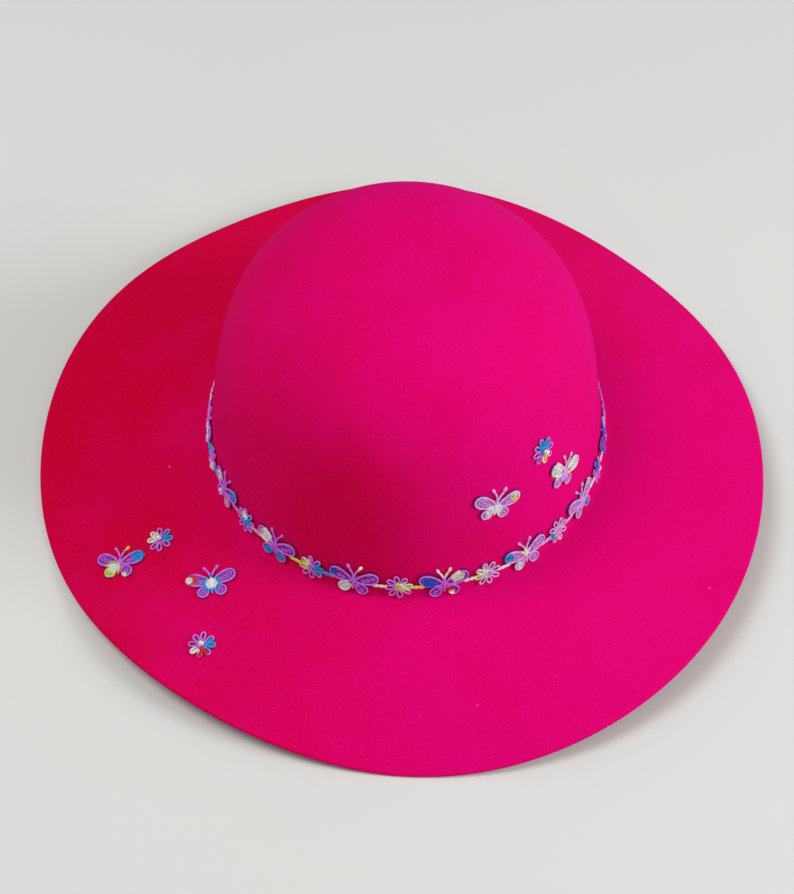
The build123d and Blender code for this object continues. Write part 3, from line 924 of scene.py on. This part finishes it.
def make_pearl_material():
    """Glass pearl: a cloudy silver-pink lustre under a clear coat."""
    material = bpy.data.materials.new("glass_pearl")
    material.use_nodes = True
    nodes, links = material.node_tree.nodes, material.node_tree.links
    shader = nodes["Principled BSDF"]
    place = nodes.new("ShaderNodeTexCoord")
    lustre = nodes.new("ShaderNodeTexNoise")
    lustre.inputs["Scale"].default_value = 700.0
    links.new(place.outputs["Object"], lustre.inputs["Vector"])
    colour = nodes.new("ShaderNodeMix")
    colour.data_type = "RGBA"
    colour.inputs["A"].default_value = (0.70, 0.66, 0.64, 1)
    colour.inputs["B"].default_value = (0.86, 0.83, 0.88, 1)
    links.new(lustre.outputs["Fac"], colour.inputs["Factor"])
    links.new(colour.outputs["Result"], shader.inputs["Base Color"])
    rough = nodes.new("ShaderNodeMapRange")
    rough.inputs["To Min"].default_value = 0.12
    rough.inputs["To Max"].default_value = 0.22
    links.new(lustre.outputs["Fac"], rough.inputs["Value"])
    links.new(rough.outputs[0], shader.inputs["Roughness"])
    shader.inputs["Metallic"].default_value = 0.55
    shader.inputs["Coat Weight"].default_value = 0.6
    shader.inputs["Coat Roughness"].default_value = 0.08
    return material


pearl_material = make_pearl_material()


def build_bead(name, centre, hole_way):
    """Round bead turned about its thread hole, which dimples both ends."""
    rows, columns = 22, 32
    axis = np.array(hole_way) / np.linalg.norm(hole_way)
    side = np.cross(axis, [0.3, 0.2, 0.9])
    side /= np.linalg.norm(side)
    other = np.cross(axis, side)
    hole = math.asin(bead_hole / bead_radius)
    profile = [(bead_radius * math.sin(t), -bead_radius * math.cos(t))
               for t in np.linspace(hole, math.pi - hole, rows)]
    inner = bead_radius * math.sin(hole) * 0.85
    profile += [(inner, profile[-1][1] * 0.9), (inner, profile[0][1] * 0.9)]
    turn_angles = np.linspace(0, 2 * np.pi, columns, endpoint=False)
    points = [centre + axis * z + (side * math.cos(t) + other * math.sin(t)) * r
              for r, z in profile for t in turn_angles]
    piece = new_mesh(name, points, ring_faces(len(profile), columns, closed_rows=True))
    piece.data.materials.append(pearl_material)
    return piece


for number, (count, part, seat, ground, patches) in enumerate(loose_flowers):
    lace = Lace(patches, ground, 700 + number)
    embroider_flower(lace, True)
    finish_lace(f"sewn_{part}_flower_{count}", lace, seat, f"{part}_flower_{count}")
    zero = np.zeros(1)
    centre = seat(zero, zero, zero + bead_height)[0]
    across = seat(zero + 0.001, zero, zero + bead_height)[0] - centre
    pearl = build_bead(f"pearl_{part}_{count}", centre, across)
    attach(pearl, "root")
    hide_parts(f"{part}_bead_{count}")

# ============================================================ table and studio light
# A pale table top, one large soft lamp to the right, a weaker one overhead to the left
# and an even room light.


def make_table():
    """A wide matt table top, a little cloudy, which the hat lies on."""
    half = 4.0
    points = [(-half, -half, 0), (half, -half, 0), (half, half, 0), (-half, half, 0)]
    table = new_mesh("table_top", points, [(0, 1, 2, 3)], smooth=False)
    material = bpy.data.materials.new("pale_table")
    material.use_nodes = True
    nodes, links = material.node_tree.nodes, material.node_tree.links
    shader = nodes["Principled BSDF"]
    place = nodes.new("ShaderNodeTexCoord")
    cloud = nodes.new("ShaderNodeTexNoise")
    cloud.inputs["Scale"].default_value = 3.0
    links.new(place.outputs["Object"], cloud.inputs["Vector"])
    colour = nodes.new("ShaderNodeMix")
    colour.data_type = "RGBA"
    colour.inputs["A"].default_value = (0.70, 0.71, 0.68, 1)
    colour.inputs["B"].default_value = (0.74, 0.75, 0.73, 1)
    links.new(cloud.outputs["Fac"], colour.inputs["Factor"])
    links.new(colour.outputs["Result"], shader.inputs["Base Color"])
    shader.inputs["Roughness"].default_value = 0.7
    shader.inputs["Specular IOR Level"].default_value = 0.2
    table.data.materials.append(material)
    return table


table_top = make_table()


def add_lamp(name, place, aim, size, power, colour):
    """Round soft lamp at a place, turned to a point."""
    lamp = bpy.data.lights.new(name, "AREA")
    lamp.shape = "DISK"
    lamp.size = size
    lamp.energy = power
    lamp.color = colour
    holder = bpy.data.objects.new(name, lamp)
    bpy.context.scene.collection.objects.link(holder)
    holder.location = place
    holder.rotation_euler = (Vector(aim) - Vector(place)).to_track_quat("-Z", "Y").to_euler()


add_lamp("window_right", (1.50, -0.40, 0.80), (0, 0, 0.05), 0.8, 16.5, (0.98, 1.0, 1.02))
add_lamp("ceiling_left", (-0.72, 0.0, 1.50), (0, 0, 0.0), 0.9, 10.5, (1.0, 1.0, 1.0))
world = bpy.data.worlds.new("room")
world.use_nodes = True
world.node_tree.nodes["Background"].inputs["Color"].default_value = (1.0, 1.0, 1.0, 1)
world.node_tree.nodes["Background"].inputs["Strength"].default_value = 0.44
bpy.context.scene.world = world
bpy.context.scene.view_settings.view_transform = "Standard"
